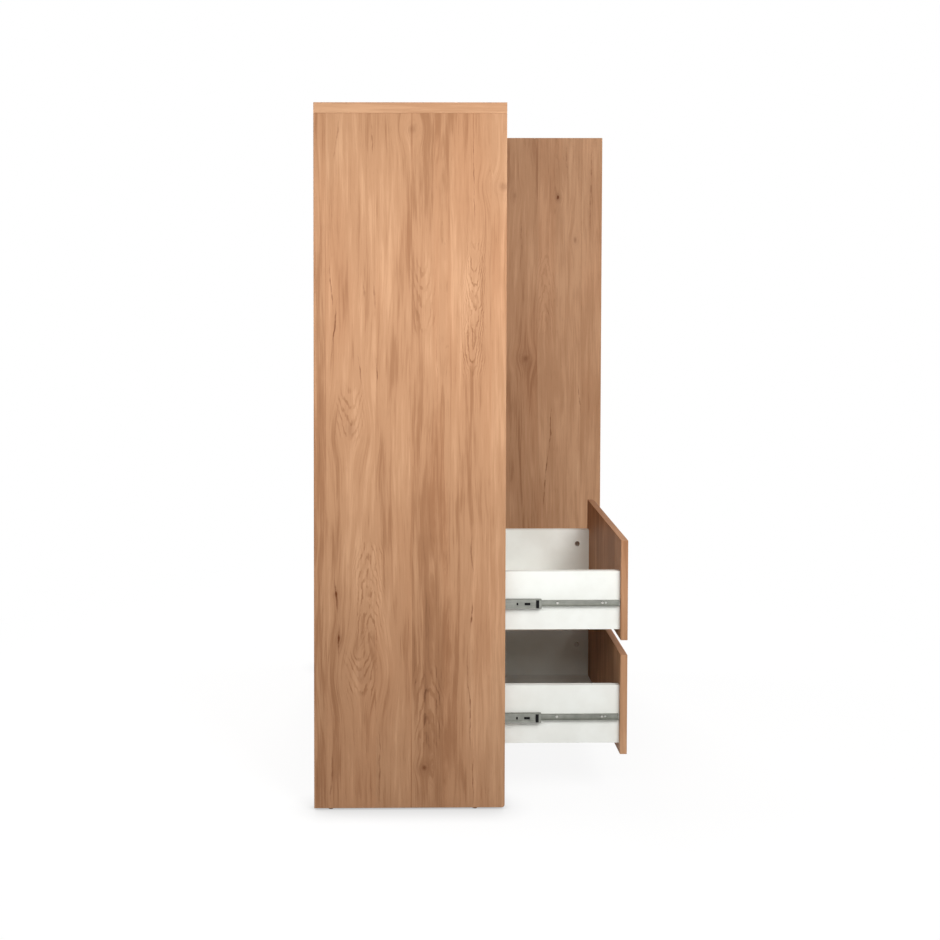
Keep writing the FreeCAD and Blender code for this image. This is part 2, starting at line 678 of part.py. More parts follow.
def make_drawer(level, bay):
    bottom = "%s + drawer_gap" % bay
    low = "%s + box_raise" % bottom
    high = "%s + box_height" % low
    tray = ("%s + bottom_raise" % low, "%s + bottom_raise + box_bottom" % low)
    slide_z = "%s + slide_rise" % low
    box_y = ("box_front", "box_back")
    front_holes, cams, bolts, pins, side_holes = [], [], [], [], {"left": [], "right": []}
    for label, edge, side in (("left", "box_left", 1), ("right", "box_right", -1)):
        middle = "%s %s box_wall / 2" % (edge, "+" if side > 0 else "-")
        cam_seat = (middle, "box_front", "%s - box_cam_drop" % high)
        pin_seat = shifted(cam_seat, "-z", "box_pin_pitch")
        opens = "+x" if side > 0 else "-x"
        fitting("%s%sFit" % (level, label), cam_seat, "+y", opens, "box_wall / 2", "box_", front_holes,
                side_holes[label], cams, bolts)
        dowel("%s%sPin" % (level, label), pin_seat, "+y", "box_", front_holes, side_holes[label], pins)
    front = block(level + "Front", ("-side_face + front_gap", "-mid_face - front_gap"),
                  ("drawer_y", "box_front"), (bottom, bottom + " + drawer_front_height"))
    front = rounded(level + "FrontRound", front, sheet.edge_round, every_edge)
    bottom_x = ("box_left + box_wall - bottom_groove", "box_right - box_wall + bottom_groove")
    bottom_y = ("box_front - bottom_groove", "box_back")
    groove = block(level + "Groove", (bottom_x[0] + " - play", bottom_x[1] + " + play"),
                   (bottom_y[0] + " - play", bottom_y[1] + " + play"),
                   (tray[0] + " - play", tray[1] + " + play"))
    keep(level + "_drawer_front", cut(level + "FrontCut", front, front_holes + [groove]))
    for label, edge, side in (("left", "box_left", 1), ("right", "box_right", -1)):
        wall = block(level + label + "Wall", lane(edge, side, "0", "box_wall"), box_y, (low, high))
        wall = cut(level + label + "WallCut", wall, side_holes[label] + [groove])
        keep("%s_drawer_%s_side" % (level, label), wall)
    keep(level + "_drawer_back", block(level + "BackWall", ("box_left + box_wall", "box_right - box_wall"),
                                       ("box_back - box_wall", "box_back"), (tray[1], high)))
    keep(level + "_drawer_bottom", block(level + "Tray", bottom_x, bottom_y, tray))
    keep_group(level + "_drawer_fittings", cams + bolts + pins)
    riders = []
    for label, base, side in (("left", "-side_face", 1), ("right", "-mid_face", -1)):
        riders += make_slide(level + label + "Slide", "%s_%s" % (level, label), base, side, slide_z)
    keep_group(level + "_slide_cages", riders)


# Push latches

def make_latch(name, centre, out, housings):
    """A housing with a bore, and a plunger that stands out by some way from the closed front's face."""
    x, z = centre
    start = "front_back + latch_setback"
    case = block(name + "Case", (x + " - latch_width / 2", x + " + latch_width / 2"),
                 (start, start + " + latch_length"), (z + " - latch_width / 2", z + " + latch_width / 2"))
    bore = rod(name + "Bore", (x, start + " - play", z), "+y", "plunger_radius + plunger_play",
               "plunger_bore")
    housings.append(cut(name + "Housing", case, [bore]))
    tip = "front_back + touch_gap - (%s)" % out
    plunger = rod(name + "Plunger", (x, tip, z), "+y", "plunger_radius", "plunger_length")
    keep(name + "_latch_plunger", plunger)


def make_latches():
    housings = []
    door_z = "door_top - latch_drop"
    beside = "mid_face + latch_width / 2"
    make_latch("left_door", ("-(%s)" % beside, door_z), "0", housings)
    make_latch("right_door", (beside, door_z), "plunger_travel", housings)
    for level, board in (("lower", "divider_under"), ("upper", "shelf_under")):
        make_latch(level + "_drawer", ("-column_middle", board + " - latch_width / 2"), "plunger_travel",
                   housings)
    keep_group("latch_housings", housings)


def write_parts():
    doc.recompute()
    faults = [obj.Label for obj in doc.Objects if {"Invalid", "Error"} & set(obj.State)]
    faults += [obj.Label for obj in pieces if obj.Shape.isNull() or not obj.Shape.isValid()]
    if faults:
        raise RuntimeError("failed: " + ", ".join(faults))
    os.makedirs("parts", exist_ok=True)
    for obj in pieces:
        obj.Shape.exportStep("parts/%s.step" % obj.Label)
    print(len(pieces), "sub-parts")


for name, text in LAYOUT:
    layout.addProperty("App::PropertyFloat", name, "Layout")
    tie(layout, name, text)
doc.recompute()

holes = {key: [] for key in ("left", "right", "top", "floor", "mid", "Divider", "Shelf", "plinth")}
fixings = {"cams": [], "bolts": [], "dowels": []}
shelf_pins, hinge_arms, hinge_plates = [], [], []
carcass_joints(holes, fixings)
make_shelves("left", LEFT_SHELVES, "shelf_top", "-side_face", "-mid_face",
             holes["left"], holes["mid"], shelf_pins)
make_shelves("right", RIGHT_SHELVES, "floor_top", "mid_face", "side_face",
             holes["mid"], holes["right"], shelf_pins)
make_glides(holes)
make_carcass(holes)
keep_group("shelf_pins", shelf_pins)
keep_group("cam_discs", fixings["cams"])
keep_group("cam_bolts", fixings["bolts"])
keep_group("wood_dowels", fixings["dowels"])
make_door("left", -1, "left_door_bottom", LEFT_HINGES, "0", hinge_arms, hinge_plates)
make_door("right", 1, "right_door_bottom", RIGHT_HINGES, "right_door_open", hinge_arms, hinge_plates)
keep_group("hinge_arms", hinge_arms)
keep_group("hinge_plates", hinge_plates)
for level, bay in (("lower", "floor_top"), ("upper", "divider_top")):
    make_drawer(level, bay)
make_latches()
write_parts()
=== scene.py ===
import math
from typing import NamedTuple

import bmesh
import bpy
from mathutils import Matrix, Vector


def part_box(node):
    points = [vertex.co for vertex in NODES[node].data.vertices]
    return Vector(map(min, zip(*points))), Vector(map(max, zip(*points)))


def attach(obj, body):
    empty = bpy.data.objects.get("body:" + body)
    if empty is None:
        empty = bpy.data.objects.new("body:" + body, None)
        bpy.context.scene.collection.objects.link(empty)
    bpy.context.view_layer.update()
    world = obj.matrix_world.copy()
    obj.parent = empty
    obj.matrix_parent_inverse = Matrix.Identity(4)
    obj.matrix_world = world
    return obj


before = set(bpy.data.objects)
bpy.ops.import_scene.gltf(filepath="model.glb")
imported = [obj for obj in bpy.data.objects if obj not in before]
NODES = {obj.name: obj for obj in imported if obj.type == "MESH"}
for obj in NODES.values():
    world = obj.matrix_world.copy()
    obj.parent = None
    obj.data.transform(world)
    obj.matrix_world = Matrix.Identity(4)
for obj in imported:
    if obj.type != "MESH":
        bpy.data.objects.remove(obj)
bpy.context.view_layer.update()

# Looks of the highboard: finishes for the model's boards and fittings, then screw heads and plugs as pieces
# of their own, then the floor, light and camera. Lengths are in metres, in the model's frame.
MM = 0.001
AXES = "xyz"
LEVELS = ("lower", "upper")

# Sides, with the way along X that each lies
SIDES = {"left": -1.0, "right": 1.0}


# Node building. Where the Mix node has its factor, first and second input, for numbers and for colours.

MIX_NUMBERS, MIX_COLOURS = (0, 2, 3), (0, 6, 7)
NUMBER_OUT, COLOUR_OUT = 0, 2
NOISE_LOW, NOISE_MIDDLE, NOISE_HIGH = 0.3, 0.5, 0.7


class Pattern(NamedTuple):
    """A noise over two places: the scale of each, its detail and roughness, and a phase of its own."""

    first: float
    second: float
    detail: float
    roughness: float = 0.5
    phase: float = 0.0


class Band(NamedTuple):
    """A value's way from low to high, and the results that it gives at both ends."""

    low: float
    high: float
    at_low: float = 0.0
    at_high: float = 1.0


class Graph:
    """Short calls for building one node tree. A value is a number, a colour or another node's socket."""

    def __init__(self, tree):
        self.tree = tree

    def node(self, kind, **settings):
        made = self.tree.nodes.new(kind)
        for name, value in settings.items():
            setattr(made, name, value)
        return made

    def feed(self, socket, value):
        if isinstance(value, bpy.types.NodeSocket):
            self.tree.links.new(value, socket)
        else:
            socket.default_value = value

    def feed_all(self, sockets, values):
        for socket, value in zip(sockets, values):
            self.feed(socket, value)

    def math(self, operation, *values, clamp=False):
        made = self.node("ShaderNodeMath", operation=operation, use_clamp=clamp)
        self.feed_all(made.inputs, values)
        return made.outputs[0]

    def chain(self, operation, values):
        total = values[0]
        for value in values[1:]:
            total = self.math(operation, total, value)
        return total

    def add(self, *values):
        return self.chain("ADD", values)

    def mul(self, *values):
        return self.chain("MULTIPLY", values)

    def sub(self, first, second):
        return self.math("SUBTRACT", first, second)

    def div(self, first, second):
        return self.math("DIVIDE", first, second)

    def sway(self, value, reach):
        """A value from 0 to 1 as a shift to either side, the reach from end to end."""
        return self.mul(self.sub(value, NOISE_MIDDLE), reach)

    def coordinates(self, kind):
        """The three parts of a texture coordinate: Object is the place, Normal is where the face points."""
        source = self.node("ShaderNodeTexCoord")
        parts = self.node("ShaderNodeSeparateXYZ")
        self.feed(parts.inputs[0], source.outputs[kind])
        return list(parts.outputs)

    def noise(self, parts, detail, roughness=0.5):
        """Noise from 0 to 1 at a point whose three parts are already scaled."""
        point = self.node("ShaderNodeCombineXYZ")
        self.feed_all(point.inputs, parts)
        made = self.node("ShaderNodeTexNoise")
        self.feed(made.inputs["Vector"], point.outputs[0])
        for name, value in (("Scale", 1.0), ("Detail", detail), ("Roughness", roughness)):
            self.feed(made.inputs[name], value)
        return made.outputs[0]

    def pattern(self, pattern, first, second, shift=None, slide=None, phase=None):
        """A pattern at two places, moved by the shift along the first and by the slide along the second."""
        parts = []
        for place, scale, move in ((first, pattern.first, shift), (second, pattern.second, slide)):
            scaled = self.mul(place, scale)
            parts.append(scaled if move is None else self.add(scaled, move))
        parts.append(pattern.phase if phase is None else phase)
        return self.noise(parts, pattern.detail, pattern.roughness)

    def speckle(self, places, scale, detail, roughness=0.5):
        """Noise of one scale in all three directions."""
        return self.noise([self.mul(place, scale) for place in places], detail, roughness)

    def lines(self, places, along, lengthways, sideways, detail):
        """Noise drawn out into lines along one axis, with a scale lengthways and one sideways."""
        scales = [lengthways if axis == along else sideways for axis in AXES]
        return self.noise([self.mul(place, scale) for place, scale in zip(places, scales)], detail)

    def span(self, value, low, high, at_low=0.0, at_high=1.0, smooth=True):
        """The value's way from low to high, as a way from one result to another."""
        made = self.node("ShaderNodeMapRange", interpolation_type="SMOOTHSTEP" if smooth else "LINEAR")
        self.feed_all(made.inputs, (value, low, high, at_low, at_high))
        return made.outputs[0]

    def vary(self, value, low, high):
        """Numbers from low to high over the usual range of a noise."""
        return self.span(value, NOISE_LOW, NOISE_HIGH, low, high)

    def pick(self, factor, first, second):
        """The first number where the factor is 0, the second where it is 1."""
        made = self.node("ShaderNodeMix", data_type="FLOAT")
        self.feed_all([made.inputs[place] for place in MIX_NUMBERS], (factor, first, second))
        return made.outputs[NUMBER_OUT]

    def blend(self, factor, first, second, kind="MIX"):
        """The first colour where the factor is 0, the second blended in where it is 1."""
        made = self.node("ShaderNodeMix", data_type="RGBA", blend_type=kind)
        self.feed_all([made.inputs[place] for place in MIX_COLOURS], (factor, first, second))
        return made.outputs[COLOUR_OUT]

    def ramp(self, value, stops, kind="EASE"):
        """A colour from stops of a place and a colour each."""
        made = self.node("ShaderNodeValToRGB")
        band = made.color_ramp
        band.interpolation = kind
        while len(band.elements) < len(stops):
            band.elements.new(1.0)
        for element, (place, colour) in zip(band.elements, stops):
            element.position = place
            element.color = colour
        self.feed(made.inputs[0], value)
        return made.outputs[0]

    def tint(self, value, low, high):
        """Colours from low to high over the usual range of a noise."""
        return self.ramp(value, ((NOISE_LOW, low), (NOISE_HIGH, high)))

    def call(self, group, **inputs):
        """The outputs of a node group for these inputs."""
        made = self.node("ShaderNodeGroup", node_tree=group)
        for name, value in inputs.items():
            self.feed(made.inputs[name], value)
        return made.outputs

    def mix_shaders(self, factor, first, second):
        """The first shader where the factor is 0, the second where it is 1."""
        made = self.node("ShaderNodeMixShader")
        self.feed_all(made.inputs, (factor, first.outputs[0], second.outputs[0]))
        return made.outputs[0]


def tone(red, green, blue):
    """A colour given as seen on a screen, from 0 to 255, in the renderer's linear values."""
    def linear(level):
        share = level / 255.0
        return share / 12.92 if share <= 0.04045 else ((share + 0.055) / 1.055) ** 2.4
    return (linear(red), linear(green), linear(blue), 1.0)


def start_group(name, inputs, outputs):
    """A node group of numbers, with a colour as the output of that name: its tree, graph, inputs and end."""
    tree = bpy.data.node_groups.new(name, "ShaderNodeTree")
    for label in inputs:
        tree.interface.new_socket(label, in_out="INPUT", socket_type="NodeSocketFloat")
    for label in outputs:
        kind = "NodeSocketColor" if label == "colour" else "NodeSocketFloat"
        tree.interface.new_socket(label, in_out="OUTPUT", socket_type=kind)
    g = Graph(tree)
    entry = g.node("NodeGroupInput")
    leave = g.node("NodeGroupOutput")
    return tree, g, [entry.outputs[label] for label in inputs], leave


def start_material(name, **constants):
    """A principled material; the constants go straight onto its shader's sockets."""
    material = bpy.data.materials.new(name)
    material.use_nodes = True
    g = Graph(material.node_tree)
    shader = material.node_tree.nodes["Principled BSDF"]
    for label, value in constants.items():
        shader.inputs[label.replace("_", " ")].default_value = value
    return material, g, shader


def surface(g, shader, colour, rough, height, relief):
    """Give a shader its colour, its roughness, and a bump as deep as the relief."""
    g.feed(shader.inputs["Base Color"], colour)
    g.feed(shader.inputs["Roughness"], rough)
    bump = g.node("ShaderNodeBump")
    g.feed(bump.inputs["Strength"], 1.0)
    g.feed(bump.inputs["Distance"], relief)
    g.feed(bump.inputs["Height"], height)
    g.feed(shader.inputs["Normal"], bump.outputs[0])


# Oak decor: the kinds of marks on a board. Their places are the frame's, across the grain and along it.

class Plank(NamedTuple):
    """Where a plank starts across the board, its tone, and how soft that edge is."""

    start: float
    level: float
    soft: float


class Crack(NamedTuple):
    """A thin fissure: its place across, start and stop along, lean, half width and depth."""

    place: float
    start: float
    stop: float
    lean: float
    width: float
    depth: float


class Knot(NamedTuple):
    """An eye in the grain: its place across, level along, radius, stretch along and depth."""

    place: float
    level: float
    radius: float
    stretch: float
    depth: float


class Arch(NamedTuple):
    """Nested arches: their place across, tip and foot along, half width, count and depth."""

    place: float
    tip: float
    foot: float
    half: float
    count: float
    depth: float


class Marks(NamedTuple):
    """All marks of one board."""

    planks: tuple = ()
    cracks: tuple = ()
    knots: tuple = ()
    arches: tuple = ()


# Oak decor: how each kind of mark is drawn

CRACK_WAVER = Pattern(21.0, 90.0, detail=2.0)
CRACK_WAVER_REACH = 12.0 * MM
CRACK_ROUGH = Pattern(60.0, 50.0, detail=3.0, phase=3.0)
CRACK_ROUGH_BAND = Band(0.3, 0.65, 0.35, 1.0)
CRACK_LEAST = 0.3 * MM


def crack_group():
    """Darkness of one crack, which runs along the grain, tapers at both ends and wavers."""
    tree, g, inputs, leave = start_group("oak_crack", ("dark", "across", "along") + Crack._fields, ("dark",))
    before, across, along, place, start, stop, lean, width, depth = inputs
    middle = g.mul(g.add(start, stop), 0.5)
    waver = g.sway(g.pattern(CRACK_WAVER, along, place), CRACK_WAVER_REACH)
    path = g.add(place, g.mul(lean, g.sub(along, middle)), waver)
    share = g.div(g.sub(along, start), g.sub(stop, start))
    taper = g.math("MULTIPLY", g.mul(share, 4.0), g.sub(1.0, share), clamp=True)
    rough = g.span(g.pattern(CRACK_ROUGH, along, place), *CRACK_ROUGH_BAND)
    reach = g.mul(width, g.math("SQRT", taper), rough)
    near = g.math("ABSOLUTE", g.sub(across, path))
    body = g.span(near, 0.0, g.add(reach, CRACK_LEAST), 1.0, 0.0)
    g.feed(leave.inputs["dark"], g.add(before, g.mul(body, taper, depth, rough)))
    return tree


KNOT_RUFFLE = Pattern(70.0, 50.0, detail=3.0, phase=7.0)
KNOT_RUFFLE_REACH = 1.3
KNOT_SWELL, KNOT_SWELL_FALL = 0.75, -0.45
KNOT_HEART = Band(0.05, 0.6, 1.0, 0.0)
KNOT_HALO = Band(0.3, 1.8, 0.24, 0.0)
KNOT_RINGS = 11.0
KNOT_RING_BAND = Band(0.2, 1.0)
KNOT_RING_FADE = Band(0.4, 1.7, 0.12, 0.0)


def knot_group():
    """Darkness of one knot, and the place across with the grain's lines parted round it."""
    tree, g, inputs, leave = start_group(
        "oak_knot", ("dark", "across", "along") + Knot._fields, ("across", "dark"))
    before, across, along, place, level, radius, stretch, depth = inputs
    ruffle = g.sway(g.pattern(KNOT_RUFFLE, across, along), KNOT_RUFFLE_REACH)
    side = g.div(g.sub(across, place), radius)
    rise = g.div(g.sub(along, level), g.mul(radius, stretch))
    far = g.math("SQRT", g.add(g.mul(side, side), g.mul(rise, rise)))
    swell = g.math("EXPONENT", g.mul(far, far, KNOT_SWELL_FALL))
    g.feed(leave.inputs["across"], g.sub(across, g.mul(g.sub(across, place), swell, KNOT_SWELL)))
    far = g.math("MAXIMUM", g.add(far, g.mul(ruffle, far)), 0.0)
    rings = g.math("SINE", g.mul(far, KNOT_RINGS))
    ringed = g.mul(g.span(rings, *KNOT_RING_BAND), g.span(far, *KNOT_RING_FADE))
    shade = g.add(g.span(far, *KNOT_HEART), g.span(far, *KNOT_HALO), ringed)
    g.feed(leave.inputs["dark"], g.add(before, g.mul(shade, depth)))
    return tree


ARCH_DRIFT = Pattern(9.0, 40.0, detail=2.0, phase=1.0)
ARCH_DRIFT_REACH = 22.0 * MM
ARCH_RUFFLE = Pattern(34.0, 13.0, detail=4.0, roughness=0.6)
ARCH_RUFFLE_REACH = 0.70
ARCH_RUFFLE_PHASE = 30.0
ARCH_BOW, ARCH_BOW_POWER = -0.85, 1.6
ARCH_LINE = Band(-0.1, 1.0, 0.30, -0.80)
ARCH_FEATHER = Pattern(150.0, 34.0, detail=2.0, phase=5.0)
ARCH_FEATHER_BAND = Band(0.30, 0.64, 0.15, 1.0)
ARCH_SIDES = Band(0.45, 1.1, 1.0, 0.0)
ARCH_TIP = Band(0.0, 0.2)
ARCH_FOOT = Band(0.7, 1.05, 1.0, 0.0)


def arch_group():
    """Nested arches of a flat-sawn board as shifts of its tone, light beside dark, uneven and feathered."""
    tree, g, inputs, leave = start_group("oak_arch", ("shift", "across", "along") + Arch._fields, ("shift",))
    before, across, along, place, tip, foot, half, count, depth = inputs
    drift = g.sway(g.pattern(ARCH_DRIFT, along, place), ARCH_DRIFT_REACH)
    side = g.math("ABSOLUTE", g.div(g.sub(across, g.add(place, drift)), half))
    share = g.div(g.sub(along, tip), g.sub(foot, tip))
    ruffle = g.pattern(ARCH_RUFFLE, across, along, phase=g.mul(place, ARCH_RUFFLE_PHASE))
    bow = g.math("POWER", side, ARCH_BOW_POWER)
    field = g.add(share, g.mul(bow, ARCH_BOW), g.sway(ruffle, ARCH_RUFFLE_REACH))
    line = g.span(g.math("SINE", g.mul(field, count, 2.0 * math.pi)), *ARCH_LINE)
    feather = g.span(g.pattern(ARCH_FEATHER, across, along), *ARCH_FEATHER_BAND)
    inside = g.mul(g.span(side, *ARCH_SIDES), g.span(share, *ARCH_TIP), g.span(share, *ARCH_FOOT))
    g.feed(leave.inputs["shift"], g.add(before, g.mul(line, feather, inside, depth)))
    return tree


# Oak decor: the grain. Two slow patterns bend its lines, and the others are its layers.

PLANK_PHASE = 7.31
SLOW = Pattern(5.0, 1.1, detail=1.0)
SLOW_REACH = 50.0 * MM
WAVE = Pattern(24.0, 4.0, detail=2.0, phase=2.0)
WAVE_REACH = 10.0 * MM
BROAD = Pattern(30.0, 2.2, detail=3.0, phase=1.0)
STREAK = Pattern(120.0, 6.0, detail=3.0, roughness=0.55, phase=4.0)
FIBRE = Pattern(480.0, 11.0, detail=3.0, roughness=0.6, phase=6.0)
CLOUD = Pattern(9.0, 3.5, detail=2.0, phase=8.0)
FIGURE = Pattern(13.0, 0.9, detail=1.0, phase=9.0)
FIGURE_RINGS = 15.0
LATE_RING = Band(0.62, 1.0)
LATE_CLOUD = Band(0.42, 0.62)
PORES = Pattern(900.0, 34.0, detail=2.0, phase=11.0)
PORE_BAND = Band(0.58, 0.74)
ROSY = Pattern(7.0, 2.0, detail=1.0, phase=3.0)
ROSY_BAND = Band(0.42, 0.68, 0.0, 0.5)

# How much each layer counts in the tone, the height and the roughness
OAK_TONE, PLANK_TONE, BROAD_TONE, STREAK_TONE = 0.5, 0.38, 0.60, 0.50
FIBRE_TONE, CLOUD_TONE, LATE_TONE = 0.26, 0.42, -0.08
STREAK_HEIGHT, FIBRE_HEIGHT, PORE_HEIGHT = 0.35, 0.25, -0.35
OAK_ROUGH, STREAK_ROUGH, PORE_ROUGH = 0.44, 0.10, 0.12

# Colours by tone, and the colours and strengths of rosy patches, pores and marks
OAK_STOPS = (
    (0.10, tone(116, 76, 52)),
    (0.34, tone(158, 114, 82)),
    (0.52, tone(180, 136, 102)),
    (0.72, tone(196, 152, 117)),
    (0.92, tone(212, 172, 137)),
)
OAK_ROSY = (0.97, 0.90, 0.86, 1.0)
OAK_PORE = tone(112, 72, 46)
OAK_PORE_SHADE = 0.16
OAK_DARK = tone(98, 48, 20)
OAK_DARK_SHADE = Band(0.0, 1.0, 0.0, 0.94)


def grain_group():
    """Colour, height and roughness of the oak from a place on the board and the board's own marks."""
    tree, g, inputs, leave = start_group(
        "oak_grain", ("across", "along", "plank", "shift", "dark"), ("colour", "height", "rough"))
    across, along, plank, arched, dark = inputs
    own = g.mul(plank, PLANK_PHASE)
    slow = g.pattern(SLOW, across, along, shift=own, phase=own)
    bent = g.add(across, g.sway(slow, SLOW_REACH))
    wave = g.pattern(WAVE, bent, along, shift=own)
    bent = g.add(bent, g.sway(wave, WAVE_REACH))
    broad = g.pattern(BROAD, bent, along, shift=own)
    streak = g.pattern(STREAK, bent, along, shift=own)
    fibre = g.pattern(FIBRE, bent, along, shift=own)
    cloud = g.pattern(CLOUD, across, along, shift=own)
    figure = g.pattern(FIGURE, bent, along, shift=own, slide=own)
    ring = g.math("PINGPONG", g.mul(figure, FIGURE_RINGS), 1.0)
    late = g.mul(g.span(ring, *LATE_RING), g.span(cloud, *LATE_CLOUD))
    pores = g.span(g.pattern(PORES, bent, along, shift=own), *PORE_BAND)
    value = g.add(OAK_TONE, g.sway(plank, PLANK_TONE), g.sway(broad, BROAD_TONE),
                  g.sway(streak, STREAK_TONE), g.sway(fibre, FIBRE_TONE), g.sway(cloud, CLOUD_TONE),
                  g.mul(late, LATE_TONE), arched)
    colour = g.ramp(value, OAK_STOPS)
    rosy = g.span(g.pattern(ROSY, across, along, phase=g.add(own, ROSY.phase)), *ROSY_BAND)
    colour = g.blend(rosy, colour, OAK_ROSY, "MULTIPLY")
    colour = g.blend(g.mul(pores, OAK_PORE_SHADE), colour, OAK_PORE)
    colour = g.blend(g.span(dark, *OAK_DARK_SHADE, smooth=False), colour, OAK_DARK)
    height = g.add(g.mul(streak, STREAK_HEIGHT), g.mul(fibre, FIBRE_HEIGHT), g.mul(pores, PORE_HEIGHT))
    rough = g.add(OAK_ROUGH, g.mul(streak, STREAK_ROUGH), g.mul(pores, PORE_ROUGH))
    g.feed_all(leave.inputs, (colour, height, rough))
    return tree


CRACK, KNOT, ARCH, GRAIN = crack_group(), knot_group(), arch_group(), grain_group()

# Oak decor: the marks that the photograph shows

LEFT_PANEL = Marks(
    planks=(
        Plank(-0.030, 0.66, 0.001),
        Plank(0.0093, 0.56, 0.001),
        Plank(0.0448, 0.54, 0.001),
        Plank(0.1138, 0.30, 0.025),
        Plank(0.1744, 0.54, 0.001),
        Plank(0.2476, 0.60, 0.001),
        Plank(0.3521, 0.44, 0.001),
    ),
    cracks=(
        Crack(0.340, 1.04, 1.16, 0.05, 0.0022, 0.7),
        Crack(0.334, 0.95, 1.08, -0.10, 0.0020, 0.9),
        Crack(0.328, 1.36, 1.46, -0.12, 0.0030, 0.45),
        Crack(0.256, 1.37, 1.44, 0.03, 0.0022, 0.6),
        Crack(0.273, 1.075, 1.115, 0.10, 0.0040, 0.40),
        Crack(0.251, 1.050, 1.110, 0.12, 0.0032, 0.40),
        Crack(0.046, 1.20, 1.45, 0.02, 0.0014, 0.65),
        Crack(0.280, 0.89, 0.96, 0.10, 0.0022, 0.6),
        Crack(0.247, 0.89, 0.96, 0.02, 0.0018, 0.8),
        Crack(0.330, 0.41, 0.50, 0.05, 0.0034, 0.7),
        Crack(0.325, 0.32, 0.40, -0.04, 0.0034, 0.8),
        Crack(0.341, 0.01, 0.13, -0.08, 0.0034, 0.5),
        Crack(0.047, 0.50, 0.58, 0.02, 0.0028, 0.5),
        Crack(0.048, 0.38, 0.44, -0.04, 0.0026, 0.9),
        Crack(0.052, 0.12, 0.34, 0.05, 0.0022, 0.7),
        Crack(0.044, 0.00, 0.14, 0.00, 0.0020, 0.5),
        Crack(0.240, 0.00, 0.18, 0.02, 0.0026, 0.5),
        Crack(0.120, 0.75, 1.05, 0.01, 0.0012, 0.3),
    ),
    knots=(
        Knot(0.146, 0.090, 0.014, 1.1, 0.55),
        Knot(0.300, 0.800, 0.026, 1.6, 0.18),
        Knot(0.172, 1.425, 0.020, 1.2, 0.22),
        Knot(-0.016, 1.306, 0.026, 0.9, 0.24),
        Knot(0.331, 0.458, 0.007, 2.2, 0.60),
        Knot(0.325, 0.365, 0.007, 2.6, 0.55),
        Knot(0.278, 0.290, 0.034, 1.3, 0.12),
    ),
    arches=(
        Arch(0.264, 0.590, 0.335, 0.038, 6.0, 0.20),
        Arch(0.046, 0.890, 1.230, 0.030, 7.0, 0.24),
        Arch(0.280, 0.236, 0.345, 0.038, 4.0, 0.20),
        Arch(0.140, 0.330, 0.110, 0.036, 4.0, 0.16),
        Arch(0.150, 0.990, 1.170, 0.032, 4.0, 0.12),
        Arch(0.300, 0.770, 0.900, 0.034, 4.0, 0.18),
    ),
)
RIGHT_DOOR_MARKS_AND_SHADE = Marks(
    # Plank tones that are partly the print and partly painted shade: lighter towards the door's free front
    # edge, darker towards its hinge, where the cabinet shades the open door.
    planks=(
        Plank(-0.380, 0.80, 0.001),
        Plank(-0.322, 0.88, 0.002),
        Plank(-0.262, 0.72, 0.020),
        Plank(-0.205, 0.54, 0.002),
        Plank(-0.120, 0.38, 0.020),
        Plank(-0.060, 0.50, 0.001),
    ),
    cracks=(
        Crack(-0.240, 0.60, 0.74, -0.02, 0.0022, 0.9),
        Crack(-0.229, 0.44, 0.64, -0.09, 0.0024, 0.9),
        Crack(-0.347, 1.20, 1.44, -0.02, 0.0030, 0.5),
        Crack(-0.282, 1.33, 1.45, 0.03, 0.0028, 0.4),
        Crack(-0.318, 0.70, 0.80, 0.10, 0.0026, 0.55),
        Crack(-0.160, 1.15, 1.24, 0.00, 0.0030, 0.4),
    ),
    knots=(
        Knot(-0.258, 1.296, 0.008, 1.7, 1.0),
        Knot(-0.305, 1.180, 0.011, 1.9, 0.32),
        Knot(-0.172, 0.860, 0.022, 1.1, 0.38),
        Knot(-0.141, 1.300, 0.014, 1.5, 0.18),
    ),
    arches=(
        Arch(-0.225, 1.17, 0.90, 0.032, 5.0, 0.13),
    ),
)


# Oak decor: boards. A board's axes are the frame's: across its grain, along it and through the board.

SIDE_BOARD, FRONT_BOARD, LYING_BOARD, PLINTH_BOARD = "yzx", "xzy", "yxz", "zxy"
OAK_SHINE = 0.10
OAK_RELIEF = 0.18 * MM
PLANK_LOW, PLANK_HIGH = -0.40, 0.40
PLANK_WIDTH, PLANK_UNEVEN = 0.085, 0.8
PLANK_DARKEST, PLANK_RANGE = 0.25, 0.5
TOP_PALE, FRONTS_PALE = 0.25, -0.25

# A face counts as facing a direction from this share on. Each seed moves planks and grain by these steps.
FACING = 0.5
PLANK_STEP, ACROSS_STEP, ALONG_STEP = 0.37, 0.61, 0.83


def board_places(g, axes):
    """Places across, along and through a board; on its end faces the grain follows the edge strip."""
    spot = g.coordinates("Object")
    facing = g.coordinates("Normal")
    across, along, through = (spot[AXES.index(axis)] for axis in axes)
    end = g.math("GREATER_THAN", g.math("ABSOLUTE", facing[AXES.index(axes[1])]), FACING)
    return g.pick(end, across, through), g.pick(end, along, across), g.pick(end, through, along)


def own_planks(g, across, planks):
    """Tones of a board's own planks, with two stops at each edge: the tone before it and the plank's."""
    stops = []
    before = planks[0].level
    for start, level, soft in planks:
        for at, grey in ((start - soft, before), (start + soft, level)):
            share = (at - PLANK_LOW) / (PLANK_HIGH - PLANK_LOW)
            stops.append((share, (grey, grey, grey, 1.0)))
        before = level
    return g.ramp(g.span(across, PLANK_LOW, PLANK_HIGH, smooth=False), stops, "LINEAR")


